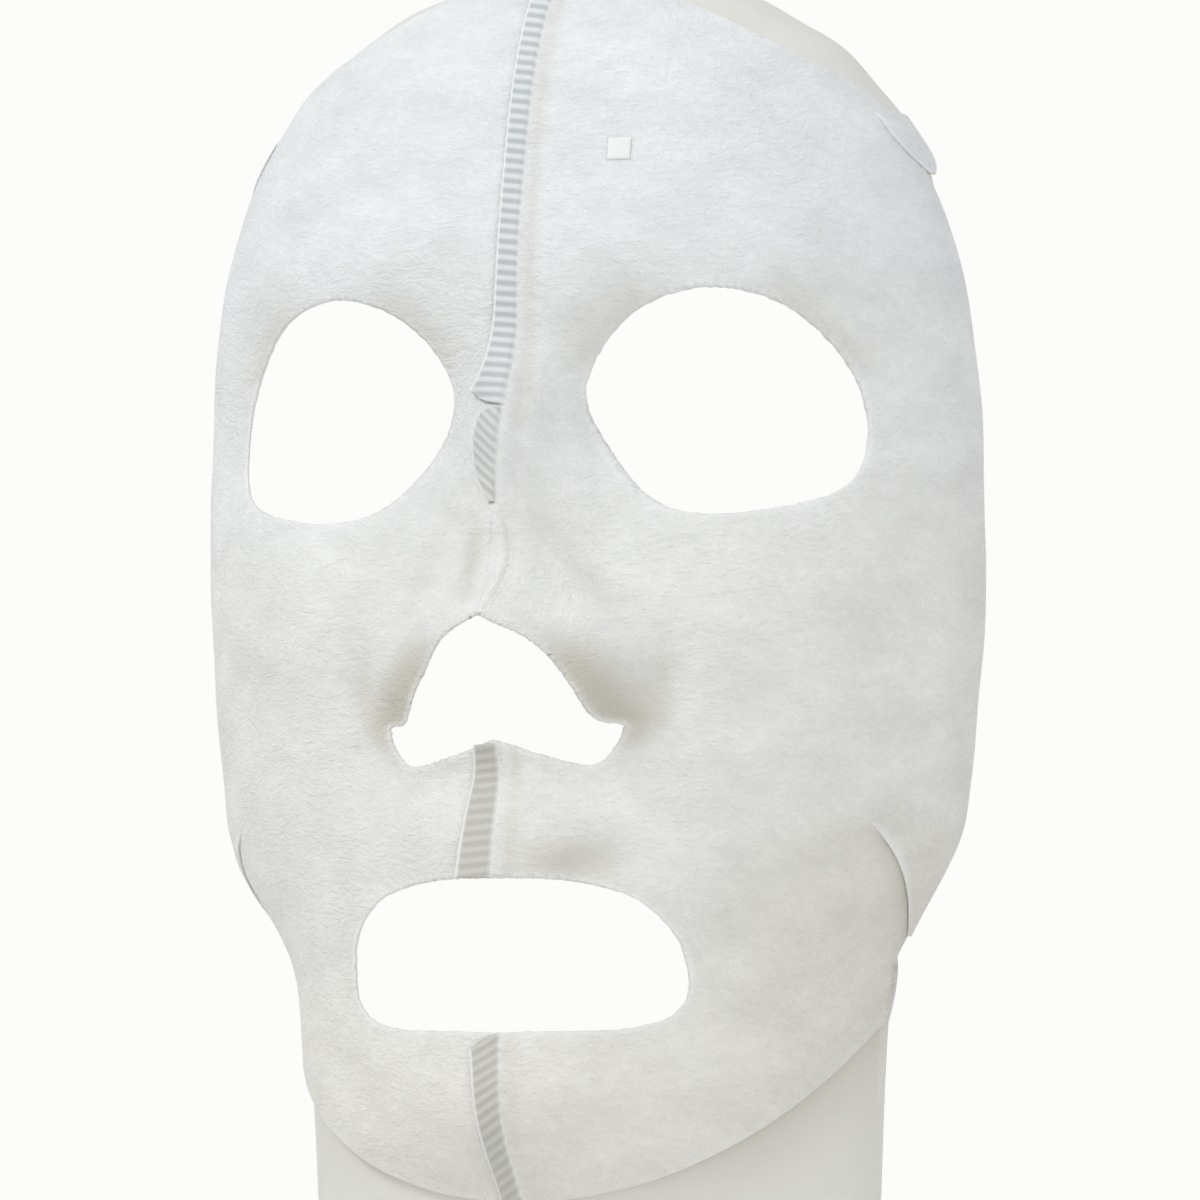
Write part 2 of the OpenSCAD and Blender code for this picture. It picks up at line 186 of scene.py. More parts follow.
def piece(name, points, quads, tris=None, values=None):
    """A mesh piece at the origin from points in millimetres, with smooth shading and named values at its
    points."""
    mesh = bpy.data.meshes.new(name)
    tris = np.zeros((0, 3), int) if tris is None else tris
    mesh.vertices.add(len(points))
    mesh.vertices.foreach_set("co", (points * 0.001).astype(np.float32).ravel())
    mesh.loops.add(4 * len(quads) + 3 * len(tris))
    corners = np.concatenate([quads.ravel(), tris.ravel()])
    mesh.loops.foreach_set("vertex_index", corners.astype(np.int32))
    mesh.polygons.add(len(quads) + len(tris))
    starts = np.concatenate([np.arange(len(quads)) * 4, 4 * len(quads) + np.arange(len(tris)) * 3])
    mesh.polygons.foreach_set("loop_start", starts.astype(np.int32))
    mesh.update(calc_edges=True)
    mesh.polygons.foreach_set("use_smooth", np.ones(len(mesh.polygons), bool))
    for key, value in (values or {}).items():
        at_points = mesh.attributes.new(key, "FLOAT", "POINT").data
        at_points.foreach_set("value", value.ravel().astype(np.float32))
    mesh.validate()
    made = bpy.data.objects.new(name, mesh)
    bpy.context.scene.collection.objects.link(made)
    return made


def grid_quads(rows, cols, flip=False):
    """Quads of a grid of points counted row by row; flip turns their normals to the other side."""
    a = (np.arange(rows - 1)[:, None] * cols + np.arange(cols - 1)).ravel()
    quads = np.stack([a, a + 1, a + cols + 1, a + cols], -1)
    return quads[:, ::-1] if flip else quads


def thicken(made, thickness):
    """Gives a single sheet its thickness, inwards from the face that shows."""
    wall = made.modifiers.new("thickness", "SOLIDIFY")
    wall.thickness = thickness * 0.001
    wall.offset = -1
    wall.use_even_offset = False
    return made


class Nodes:
    """Short hand for building a material: add() makes a node, sets its sockets and links what it is
    given."""

    def __init__(self, name):
        self.material = bpy.data.materials.new(name)
        self.material.use_nodes = True
        self.tree = self.material.node_tree
        self.tree.nodes.clear()

    def add(self, kind, ins=None, **settings):
        node = self.tree.nodes.new(kind)
        for key, value in settings.items():
            setattr(node, key, value)
        for key, value in (ins or {}).items():
            if isinstance(value, bpy.types.NodeSocket):
                self.tree.links.new(value, node.inputs[key])
            else:
                node.inputs[key].default_value = value
        return node

    def math(self, operation, a, b):
        return self.add("ShaderNodeMath", {0: a, 1: b}, operation=operation).outputs[0]

    def weighted(self, *terms):
        """Sum of (value, weight) pairs."""
        scaled = [self.math("MULTIPLY", value, weight) for value, weight in terms]
        total = scaled[0]
        for term in scaled[1:]:
            total = self.math("ADD", total, term)
        return total

    def span(self, value, low, high):
        """The value's way from low to high, held between 0 and 1."""
        return self.add("ShaderNodeMapRange", {"Value": value, "From Min": low, "From Max": high}).outputs[0]

    def mix(self, share, a, b):
        return self.add("ShaderNodeMix", {0: share, 6: a, 7: b}, data_type="RGBA").outputs[2]

    def noise(self, at, scale, detail=2.0, roughness=0.5):
        ins = {"Vector": at, "Scale": scale, "Detail": detail, "Roughness": roughness}
        return self.add("ShaderNodeTexNoise", ins).outputs["Fac"]

    def stretched(self, at, scale, turn=(0.0, 0.0, 0.0)):
        return self.add("ShaderNodeMapping", {"Vector": at, "Scale": scale, "Rotation": turn}).outputs[0]

    def object_place(self):
        return self.add("ShaderNodeTexCoord").outputs["Object"]

    def attribute(self, name):
        return self.add("ShaderNodeAttribute", attribute_name=name).outputs["Fac"]

    def bump(self, height, strength, distance):
        ins = {"Strength": strength, "Distance": distance, "Height": height}
        return self.add("ShaderNodeBump", ins).outputs[0]

    def skin(self, tone, roughness, specular, normal=None):
        """A principled surface; without a normal it is plain."""
        ins = {"Base Color": tone, "Roughness": roughness, "Specular IOR Level": specular}
        if normal is not None:
            ins["Normal"] = normal
        return self.add("ShaderNodeBsdfPrincipled", ins).outputs[0]

    def cloth(self, tone, roughness, specular, normal, through):
        """A principled surface that lets a share of the light through."""
        front = self.skin(tone, roughness, specular, normal)
        back = self.add("ShaderNodeBsdfTranslucent", {"Color": tone, "Normal": normal}).outputs[0]
        return self.add("ShaderNodeMixShader", {0: through, 1: front, 2: back}).outputs[0]

    def finish(self, surface):
        self.add("ShaderNodeOutputMaterial", {"Surface": surface})
        return self.material


def under_cloth_material():
    """Smooth nonwoven: fine even grain, a faint long wave of tone, painted shade under the jaw, and light
    let through.
    """
    m = Nodes("smooth_under_cloth")
    at = m.object_place()
    grain = m.noise(m.stretched(at, (900, 900, 1400)), 1.0, 3.0)
    cloud = m.noise(at, 45.0, 2.0)
    tone = m.mix(cloud, (0.72, 0.715, 0.675, 1), (0.80, 0.795, 0.76, 1))
    # Painted shade: a warm, dark tone mixed in under the jaw.
    tone = m.mix(m.attribute("painted_shade"), tone, (0.60, 0.565, 0.50, 1))
    return m.finish(m.cloth(tone, 0.85, 0.2, m.bump(grain, 0.25, 0.0002), through=0.25))


under_cloth = under_cloth_material()


def finish_under(made, node):
    """Thickness, cloth and frame calls that every under-layer piece shares."""
    thicken(made, UNDER_T)
    made.data.materials.append(under_cloth)
    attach(made, "mask")
    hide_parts(node)


def crown_band():
    """Rows round the crown from temple to temple; each row runs from inside the face sheet out to the rim,
    at the sine of its step, with a slight wave at the rim. Both ends are tucked in under the sheet."""
    rows, cols, overlap = 260, 30, 9
    b = np.linspace(BAND_END, np.pi - BAND_END, rows)
    rise = np.minimum(b, np.pi - b)
    tuck = 5 * (1 - ease((rise - BAND_END) / math.radians(10)))
    outer, inner = crown_edge(rise, tuck), crown_edge(rise, CROWN_SHOW + overlap)
    t = np.sin(np.linspace(np.radians(27), np.pi / 2, cols))
    t = (t - t[0]) / (t[-1] - t[0])
    grid = inner[:, None] + (outer - inner)[:, None] * t[:, None]
    x = grid[..., 0] * np.where(b > np.pi / 2, -1, 1)[:, None]
    wave = 0.25 * np.sin(b * 23)[:, None] * t * t
    points = on_form(x, grid[..., 1], UNDER_OFF + wave).reshape(-1, 3)
    return piece("crown_band_cloth", points, grid_quads(rows, cols))


finish_under(crown_band(), "crown_band")


def side_band(side):
    """Rows down one side, from the temple to the jaw; each row runs round the rim, 14 degrees wide. The
    middle shows past the face sheet and both ends are tucked in under it."""
    rows, cols = 150, 18
    wide, shows, tucked = np.radians([14, 1.5, 4.5])
    z = np.linspace(crown_edge(BAND_END, 0.0)[1] - 1, JAW_Z + 6, rows)[:, None]
    v = np.linspace(0, 1, rows)[:, None]
    show = shows - tucked * (1 - ease(v / 0.18) * ease((1 - v) / 0.18))
    angle = RIM_ANGLE + show - wide * np.linspace(0, 1, cols)
    points = round_form(side * angle, z, UNDER_OFF).reshape(-1, 3)
    name = "side_band_cloth_" + ("left" if side > 0 else "right")
    return piece(name, points, grid_quads(rows, cols, side < 0))


for side, hand in ((1, "left"), (-1, "right")):
    finish_under(side_band(side), "side_band_" + hand)


def neck_cover():
    """Rows from inside the jaw down to the hem, columns from side to side. Each column is a Bezier curve
    that turns in under the chin and falls to an elliptical hem, with a slight wave along it."""
    rows, cols = 150, 220
    hem_z, overlap, wrap_end = -146.0, 5, math.radians(100)
    v = np.linspace(0, 1, rows)[:, None, None]
    t = np.linspace(-1, 1, cols)
    edge = jaw_edge(RIM_ANGLE * np.abs(t))
    angle = np.sign(t) * np.arcsin(np.minimum(1, edge[:, 0] / half_width(edge[:, 1])))
    wrap = wrap_end * t
    top = round_form(angle, edge[:, 1] + overlap, UNDER_OFF)
    turn = round_form(angle, edge[:, 1] - 1, UNDER_OFF - 1)
    mid = np.stack([51 * np.sin(wrap), -43 * np.cos(wrap), np.full(cols, CHIN_Z - 10)], -1)
    low = np.stack([49 * np.sin(wrap), -41 * np.cos(wrap), np.full(cols, hem_z)], -1)
    points = top * (1 - v) ** 3 + turn * 3 * v * (1 - v) ** 2 + mid * 3 * v * v * (1 - v) + low * v**3
    points[..., 0] += 0.5 * np.sin(t * 9 + 1) * v[..., 0] ** 2
    points[..., 1] += 0.7 * np.sin(t * 13 + 2 * v[..., 0]) * v[..., 0] ** 2
    # Painted shade under the jaw, stronger on the wearer's left.
    painted_jaw_shade = 0.9 * ease(1 - v[..., 0] / 0.55) * (0.25 + 0.75 * ease((points[..., 0] - 4) / 34))
    quads = grid_quads(rows, cols, True)
    return piece("neck_cover_cloth", points.reshape(-1, 3), quads, values={"painted_shade": painted_jaw_shade})


finish_under(neck_cover(), "neck_cover")

# ---------------------------------------------------------------------------
# Face sheet: two mirrored halves die-cut from thick fibrous spunlace, each with
# an eye opening and half of the nose and mouth openings. They are welded to
# each other along the midline, which gives the flat cloth its face shape.
# ---------------------------------------------------------------------------

SHEET_T = 0.35
EYE_X, EYE_W, EYE_H = 34.5, 45.0, 39.0
NOSE_H = 21.0
MOUTH_W, MOUTH_H = 60.0, 26.0

# Outlines of the left half's openings as shares of their width and height. The nose runs from its top at the
# midline out to the horn and back in; the mouth runs round from the midline to the midline.
EYE_SHAPE = [
    [-0.5, 0.02], [-0.42, 0.26], [-0.24, 0.43], [0, 0.5], [0.24, 0.43], [0.42, 0.22],
    [0.5, -0.04], [0.48, -0.29], [0.36, -0.42], [0.05, -0.5], [-0.2, -0.45], [-0.38, -0.26],
]
NOSE_UPPER = [[0, 0], [0.3, -0.15], [0.5, -0.33], [0.68, -0.6], [0.82, -0.84], [1, -0.87]]
NOSE_LOWER = [[1, -0.87], [0.93, -1.04], [0.76, -1.2], [0.4, -1.13], [0, -1]]
MOUTH_SHAPE = [
    [0, 0.5], [0.25, 0.5], [0.55, 0.46], [0.78, 0.36], [0.95, 0.14], [1, -0.1],
    [0.99, -0.28], [0.89, -0.41], [0.66, -0.48], [0.35, -0.49], [0, -0.5],
]

# The slit beside the jaw starts at this level and runs down and round to the rim, in degrees round the form.
SLIT_TOP_Z, SLIT_LONG, SLIT_FROM, SLIT_TO = -36.5, 19.5, 57, 86


def curve_through(a, b, c, d, steps):
    """Catmull-Rom steps from each point b to its next, c, with a before and d after: half of 2b + (c - a)t
    + (2a - 5b + 4c - d)t^2 + (3b - a - 3c + d)t^3."""
    t = (np.arange(steps) / steps)[:, None, None]
    curve = 2 * b + (c - a) * t + (2 * a - 5 * b + 4 * c - d) * t * t + (3 * b - a - 3 * c + d) * t**3
    return (0.5 * curve).transpose(1, 0, 2).reshape(-1, 2)


def smooth_loop(p, steps):
    """Closed smooth curve through the points p."""
    p = np.array(p, float)
    return curve_through(np.roll(p, 1, 0), p, np.roll(p, -1, 0), np.roll(p, -2, 0), steps)


def smooth_line(p, steps):
    """Open smooth curve through the points p."""
    p = np.array(p, float)
    q = np.vstack([2 * p[0] - p[1], p, 2 * p[-1] - p[-2]])
    return np.vstack([curve_through(q[:-3], q[1:-2], q[2:-1], q[3:], steps), p[-1:]])


def openings():
    """Closed outlines of the eye, nose and mouth openings of the left half, in x and z. The nose and the
    mouth close on the far side of the midline."""
    past_middle = -4
    eye = smooth_loop(EYE_SHAPE, 12) * [EYE_W, EYE_H] + [EYE_X, EYE_Z]
    nose = np.vstack([smooth_line(NOSE_UPPER, 10)[:-1], smooth_line(NOSE_LOWER, 10)])
    nose = nose * [NOSE_HALF_W, NOSE_H] + [0, NOSE_TOP_Z]
    mouth = smooth_line(MOUTH_SHAPE, 10) * [MOUTH_W / 2, MOUTH_H] + [0, MOUTH_Z]
    return [eye] + [np.vstack([[past_middle, p[0, 1]], p, [past_middle, p[-1, 1]]]) for p in (nose, mouth)]


def nearest_on(outline, p):
    """Nearest points of a closed outline to the points p, and their distances, negative inside. A point is
    inside where a level line from it crosses the outline an odd number of times."""
    best, spot = np.full(len(p), 1e9), np.zeros_like(p)
    inside = np.zeros(len(p), bool)
    for start, end in zip(outline, np.roll(outline, -1, 0)):
        way = end - start
        t = np.clip((p - start) @ way / max(way @ way, 1e-12), 0, 1)
        q = start + t[:, None] * way
        far = np.linalg.norm(p - q, axis=1)
        closer = far < best
        best[closer], spot[closer] = far[closer], q[closer]
        crosses = (start[1] > p[:, 1]) != (end[1] > p[:, 1])
        if start[1] != end[1]:
            inside ^= crosses & (p[:, 0] < start[0] + (p[:, 1] - start[1]) * way[0] / way[1])
    return spot, np.where(inside, -best, best)


def beside_nose(s, z):
    """How far along and how far off the line that runs out and down past the nose opening's corner, from 6
    mm out and 6 mm down."""
    along = ((s - 6) * 15.5 - (z + 6) * 15) / 21.6
    off = ((s - 6) * 15 + (z + 6) * 15.5) / 21.6
    return along, off


def creases(x, z):
    """Small folds of the worn cloth, as heights off the form: soft waves everywhere, and named creases,
    each a bell across a short line that eases in and out along it."""
    s = np.abs(x)

    def fold(x0, z0, x1, z1, width, height):
        """A crease from (x0, z0) to (x1, z1)."""
        dx, dz = x1 - x0, z1 - z0
        long = math.hypot(dx, dz)
        t = ((x - x0) * dx + (z - z0) * dz) / long
        across = ((x - x0) * dz - (z - z0) * dx) / long
        return height * bell(across / width) * ease((t + 3) / 6) * ease((long - t + 3) / 6)

    way, off = beside_nose(s, z)
    wing = (
        -1.3 * bell(off / 5.5) * ease((way - 1) / 8) * ease((24 - way) / 5)
        + 1.7 * bell((s - 17.5) / 6.5) * bell((z + 9) / 8)
        - 0.9 * bell((s - 28) / 3.2) * bell((z + 13) / 9)
    )
    lip = (
        -1.2 * bell((z + 47) / 4.5) * ease((s - 1) / 6) * ease((27 - s) / 10)
        + 0.9 * bell((z + 37) / 5) * bell((s - 13) / 9)
    )
    waves = (
        0.22 * np.sin(x / 9 + 2.1 * np.sin(z / 17)) * np.sin(z / 13 + 1.3)
        + 0.12 * np.sin(x / 4.1 + z / 7.3) * np.sin(z / 5.7 - x / 11)
    )
    bridge = fold(3, 18, 17, -2, 1.3, 0.7) + fold(5, 21, 21, 2, 2.0, -0.5) + fold(9, 33, 15, 12, 1.8, 0.45)
    weld_groove = -0.3 * bell((x - 3.4) / 1.5)
    return waves + wing + lip + bridge + weld_groove


def paleness_of_cuts_and_highlight(x, z, edge_far):
    """Where the cloth is drawn pale: within a millimetre of a cut opening, where it is thin, and beside the
    bridge of the nose, where the paleness is a painted highlight."""
    cut = 0.55 * np.clip(1.1 - edge_far, 0, 1)
    # Beside the bridge: a painted highlight.
    return np.maximum(cut, 0.42 * bell((x - 7.5 - 0.2 * (26 - z)) / 4.2) * bell((z - 25) / 10))


def painted_shade_in_hollows(x, z, eye_far, slit_share=1):
    """Painted shade where the worn cloth bends away from the light, from 0 to 1: a sum of bells and eases,
    one for each
    hollow: under the nose wings, beside the nose, above the lip, beside the seam's root, above the eyes,
    towards the jaw and chin, and beside the slit."""
    s = np.abs(x)
    way, off = beside_nose(s, z)
    wing = 0.95 * bell((off - 1) / 5) * ease((way - 1) / 9) * ease((28 - way) / 7)
    wing = wing + 0.28 * bell((s - 27.5) / 2.6) * bell((z + 13) / 8)
    nose_side = 0.14 * bell((s - 12 - 0.55 * (10 - z)) / 3.5) * bell((z - 6) / 10)
    nose_valley = 0.5 * bell((x + 3.4) / 2.4) * bell((z - 8) / 8)
    lip = 0.62 * bell((x - 12) / 6.5) * bell((z + 44) / 3.2)
    above_nose, between_openings = z > 30, (z < -20) * (z > -47)
    root = 0.26 * bell((x - 3.4) / 1.3) * (above_nose + 0.8 * between_openings)
    root = root + 0.2 * bell((x - 2.2) / 1.4) * (z < -72)
    down = np.clip((SLIT_TOP_Z - z) / SLIT_LONG, 0, 1)
    round_by = np.degrees(np.arcsin(np.minimum(1, s / half_width(z))))
    before_slit = SLIT_FROM + (SLIT_TO - SLIT_FROM) * down - round_by
    slit = slit_share * 0.62 * np.exp(-np.maximum(before_slit, 0) / 4) * ease((before_slit + 2.5) / 2.5)
    slit = slit * ease(down * 5) * ease((-z - 30) / 6) * ease((62 + z) / 8) * (x > 0)
    brow = 0.55 * np.exp(-np.maximum(eye_far, 0) / 3.2)
    brow = brow * ease((z - EYE_Z - 4) / 6) * ease((np.abs(s - EYE_X) - 4) / 12)
    jaw = 0.26 * ease((x - 26) / 26) * ease((-20 - z) / 34)
    cheek_side = 0.06 * ease((x - 44) / 16) * ease((30 - z) / 20)
    chin = 0.10 * ease((-76 - z) / 10) * ease((x + 2) / 8) * ease((32 - x) / 12)
    # Painted shade: each term darkens the cloth where shade falls on it.
    return np.clip(wing + nose_side + nose_valley + lip + root + brow + jaw + cheek_side + chin + slit, 0, 1)


def half_edge(spokes):
    """The outer edge of the left half from the chin round to the crown, at even steps along its own
    length."""
    a = np.linspace(0, np.pi / 2, 200)
    z = np.linspace(JAW_Z, WIDEST_Z, 120)[1:]
    side_edge = np.stack([half_width(z) * np.sin(RIM_ANGLE), z], -1)
    bare = CROWN_SHOW + 5 * ease((a[1:] - 0.66) / 0.25) * ease((1.5 - a[1:]) / 0.5)
    edge = np.vstack([jaw_edge(a), side_edge, crown_edge(a[1:], bare)])
    edge[-1, 0] = edge[0, 0] = 0
    steps = np.linalg.norm(np.diff(on_form(edge[:, 0], edge[:, 1]), axis=0), axis=1)
    way = np.concatenate([[0], np.cumsum(steps)])
    at = np.linspace(0, way[-1], spokes)
    edge = np.stack([np.interp(at, way, edge[:, k]) for k in (0, 1)], -1)
    edge[:, 0] = np.maximum(edge[:, 0], 0)
    return edge


def half_sheet(side):
    """Spokes from a hub inside the nose opening out to the edge, with rings at the sine of their step. The
    points beside an opening are moved onto its outline with a slight raggedness, and those inside it, and
    any sliver that this leaves, are left out."""
    spokes, rings, first_ring = 330, 132, math.radians(2.7)
    ragged, least_face, looked_at, far_off = 0.055, 0.008, 6, 99.0
    clear, on_cut, cut_away = 0, 1, 2
    draw = np.random.default_rng(11 + side)
    hub = np.array([0, NOSE_TOP_Z - NOSE_H * 0.45])
    out = np.sin(np.linspace(first_ring, np.pi / 2, rings))
    flat = (hub + (half_edge(spokes) - hub)[:, None] * out[:, None]).reshape(-1, 2)
    state = np.full(len(flat), clear)
    index = np.arange(len(flat)).reshape(spokes, rings)
    along_rings = np.stack([index[1:], index[:-1]], -1).reshape(-1, 2)
    along_spokes = np.stack([index[:, 1:], index[:, :-1]], -1).reshape(-1, 2)
    pairs = np.vstack([along_rings, along_spokes])
    outlines = openings()
    opening_far = []
    for outline in outlines:
        low, high = outline.min(0) - looked_at, outline.max(0) + looked_at
        close = ((flat > low) & (flat < high)).all(1)
        spot, far = flat.copy(), np.full(len(flat), far_off)
        spot[close], far[close] = nearest_on(outline, flat[close])
        cross = pairs[(far[pairs[:, 0]] < 0) != (far[pairs[:, 1]] < 0)]
        first = np.abs(far[cross[:, 0]]) < np.abs(far[cross[:, 1]])
        snap = np.unique(np.where(first, cross[:, 0], cross[:, 1]))
        state[far < 0] = cut_away
        state[snap] = on_cut
        on_middle = snap[flat[snap, 0] <= 0.01]
        flat[snap] = spot[snap] + draw.normal(0, ragged, (len(snap), 2))
        flat[on_middle, 0] = 0
        opening_far.append(np.abs(far))
    flat[:, 0] = np.maximum(flat[:, 0], 0)
    eye_far, edge_far = opening_far[0], np.min(opening_far, axis=0)

    quads = grid_quads(spokes, rings)
    cut = state[quads] == cut_away
    tris = np.vstack([np.delete(quads[(cut.sum(1) == 1) & cut[:, k]], k, axis=1) for k in range(4)])
    tris = tris[(state[tris] != cut_away).all(1)]
    quads = quads[cut.sum(1) == 0]

    def kept(faces):
        """Faces of more than a sliver's size, the right way round and outside every opening."""
        middle = flat[faces].mean(1)
        a, b = flat[faces[:, 2]] - flat[faces[:, 0]], flat[faces[:, -1]] - flat[faces[:, 1]]
        turned = a[:, 0] * b[:, 1] - a[:, 1] * b[:, 0]
        keep = turned * np.sign(np.median(turned)) > least_face
        unsure = (state[faces] == on_cut).all(1)
        for outline in outlines:
            keep[unsure] &= nearest_on(outline, middle[unsure])[1] > 0
        return faces[keep]

    quads, tris = kept(quads), kept(tris)
    used = np.unique(np.concatenate([quads.ravel(), tris.ravel()]))
    new = np.full(len(flat), -1)
    new[used] = np.arange(len(used))
    quads, tris = new[quads], new[tris]
    x, z = side * flat[used, 0], flat[used, 1]
    points = on_form(x, z, creases(x, z))
    points[flat[used, 0] <= 0, 0] = 0
    if side < 0:
        quads, tris = quads[:, ::-1], tris[:, ::-1]
    name = "face_sheet_cloth_" + ("left" if side > 0 else "right")
    # The values hold painted shade in the hollows, and the paleness of the cut edges with a painted
    # highlight beside the bridge.
    values = {"pale_cut_and_highlight": paleness_of_cuts_and_highlight(x, z, edge_far[used]), "painted_shade": painted_shade_in_hollows(x, z, eye_far[used])}
    return thicken(piece(name, points, quads, tris, values), SHEET_T)


def fibre_cloth_material():
    """Spunlace: short, nearly level wisps of fibre over a cloudy web, with painted light a little warmer
    towards the chin and cooler above, painted shade in the hollows, thinner and paler along the cut edges of
    the openings, and a painted highlight beside the bridge of the nose."""
    m = Nodes("fibrous_spunlace")
    at = m.object_place()
    drift = m.add("ShaderNodeTexNoise", {"Vector": at, "Scale": 90.0, "Detail": 2.0}).outputs["Color"]
    by = (0.004, 0.004, 0.006)
    shift = m.add("ShaderNodeVectorMath", {0: drift, 1: by}, operation="MULTIPLY").outputs[0]
    wavy = m.add("ShaderNodeVectorMath", {0: at, 1: shift}, operation="ADD").outputs[0]
    wisps = m.noise(m.stretched(wavy, (480, 480, 1350), (0, 0.10, 0)), 1.0, 4.0, 0.68)
    cross = m.noise(m.stretched(wavy, (620, 620, 1200), (0, -0.6, 0)), 1.0, 3.0, 0.65)
    strands = m.noise(m.stretched(wavy, (120, 120, 900), (0, -0.08, 0)), 1.0, 3.0, 0.6)
    fuzz = m.noise(at, 2600.0, 2.0, 0.6)
    cloud = m.noise(m.stretched(at, (70, 70, 120)), 1.0, 3.0, 0.55)
    height = m.weighted((wisps, 0.6), (cross, 0.45), (strands, 0.3), (fuzz, 0.24), (cloud, 0.7))
    web = m.weighted((wisps, 0.45), (cloud, 0.55))
    tone = m.mix(m.span(web, 0.34, 0.66), (0.775, 0.775, 0.765, 1), (0.875, 0.878, 0.872, 1))
    level = m.add("ShaderNodeSeparateXYZ", {"Vector": at}).outputs["Z"]
    # Painted light: a cool tint high up and a warm tint towards the chin, by height.
    painted_light_tint = m.mix(m.span(level, -0.09, 0.07), (1.0, 0.985, 0.945, 1), (0.985, 1.0, 1.015, 1))
    tinted = m.add("ShaderNodeMix", {0: 1.0, 6: tone, 7: painted_light_tint}, data_type="RGBA", blend_type="MULTIPLY")
    # Painted shade: a brownish grey mixed in where shade falls in the hollows.
    tone = m.mix(m.attribute("painted_shade"), tinted.outputs[2], (0.60, 0.572, 0.50, 1))
    # Paler along the thin cut edges, and a painted highlight beside the bridge.
    tone = m.mix(m.attribute("pale_cut_and_highlight"), tone, (0.93, 0.935, 0.925, 1))
    return m.finish(m.cloth(tone, 0.92, 0.15, m.bump(height, 0.7, 0.0012), through=0.2))


fibre_cloth = fibre_cloth_material()
for side, hand in ((1, "left"), (-1, "right")):
    sheet = half_sheet(side)
    sheet.data.materials.append(fibre_cloth)
    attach(sheet, "mask")
    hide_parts("face_sheet_" + hand)

# ---------------------------------------------------------------------------
# Centre seam: where the halves are welded, both cut edges stand together as a
# narrow flange, crimped into ribs by the welding wheel and folded over to the
# wearer's right. It is broken by the nose and mouth openings.
# ---------------------------------------------------------------------------

RIB_PITCH = 1.8
TUCKED = 0.16


def seam_material():
    """Pressed nonwoven: cooler and darker than the sheet where it is crimped, paler on the crests and along
    the cut edge, easing into the sheet's own tone at the root, and with painted light by height: warm and
    dark low down, cool and pale high up."""
    m = Nodes("pressed_seam")
    at = m.object_place()
    crest, pressed = m.attribute("crest"), m.attribute("pressed")
    # Painted light: the crimped tones run from warm and dark low down to cool and pale high up.
    high = m.span(m.add("ShaderNodeSeparateXYZ", {"Vector": at}).outputs["Z"], 0.0, 0.05)
    valley = m.mix(high, (0.42, 0.418, 0.385, 1), (0.41, 0.435, 0.455, 1))
    top = m.mix(high, (0.49, 0.488, 0.45, 1), (0.60, 0.62, 0.63, 1))
    tone = m.mix(pressed, (0.80, 0.802, 0.79, 1), m.mix(crest, valley, top))
    return m.finish(m.skin(tone, 0.75, 0.25, m.bump(m.noise(at, 1500.0, 3.0), 0.3, 0.0003)))


pressed_seam = seam_material()


def seam_strip(name, z_from, z_to, root, width, lift, slant, rib_height, skew=0.0, tail=0.0):
    """Rows down the seam, each from the root, tucked into the left half, out to the free edge. The height
    is a rib of half a cosine slanted across the run, over a fold that eases up from the sheet and lifts
    with the square of the way out; skew and tail move the ends of the free edge down and up."""
    long = abs(z_from - z_to)
    rows, cols = max(8, int(long / RIB_PITCH * 9)), 22
    v = np.linspace(0, 1, rows)[:, None]
    u = np.linspace(-TUCKED, 1, cols)
    w = width(v)
    out = np.maximum(u, 0)
    z = z_from + (z_to - z_from) * v - skew * out**2 * (1 - v) ** 6 + tail * out**2 * v**12
    x = root(v) - w * u
    phase = ((z_from - z) + slant * out * w) / RIB_PITCH
    crest = ease(0.5 + 0.56 * np.cos(2 * np.pi * phase))
    ribbed = ease((u + 0.12) / 0.3) * ease((1.03 - u) / 0.1)
    rise = ease((u + TUCKED) / 0.4)
    off = -0.3 + 0.68 * rise + rib_height * crest * ribbed + lift(v) * out**2 + creases(np.maximum(x, -1), z)
    free = ease((u - 0.9) / 0.08)
    values = {"crest": crest, "pressed": ribbed * (1 - 0.8 * free) + 0 * v}
    made = piece(name, on_form(x, z, off).reshape(-1, 3), grid_quads(rows, cols), values=values)
    made.data.materials.append(pressed_seam)
    made.data.materials.append(fibre_cloth)
    column = np.tile(np.arange(cols - 1), rows - 1)
    made.data.polygons.foreach_set("material_index", (u[column + 1] < -0.1).astype(np.int32))
    return thicken(made, SHEET_T)


def nose_join():
    """The run over the nose, where both edges are turned in: rows down the ridge, each a low rounded strip
    that eases into both halves, with a half sine of drift to the wearer's left."""
    rows, cols, top_z = 90, 15, 16.9
    z = np.linspace(top_z, NOSE_TOP_Z + 0.1, rows)[:, None]
    across = np.linspace(-1.7, 1.7, cols)
    x = across + 2.4 * np.sin(np.pi * np.clip((top_z - z) / 19.3, 0, 1))
    points = on_form(x, z, -0.35 + 0.6 * bell(across / 1.2) + creases(x, z))
    made = piece("nose_seam_join", points.reshape(-1, 3), grid_quads(rows, cols, True))
    made.data.materials.append(fibre_cloth)
    return thicken(made, SHEET_T)


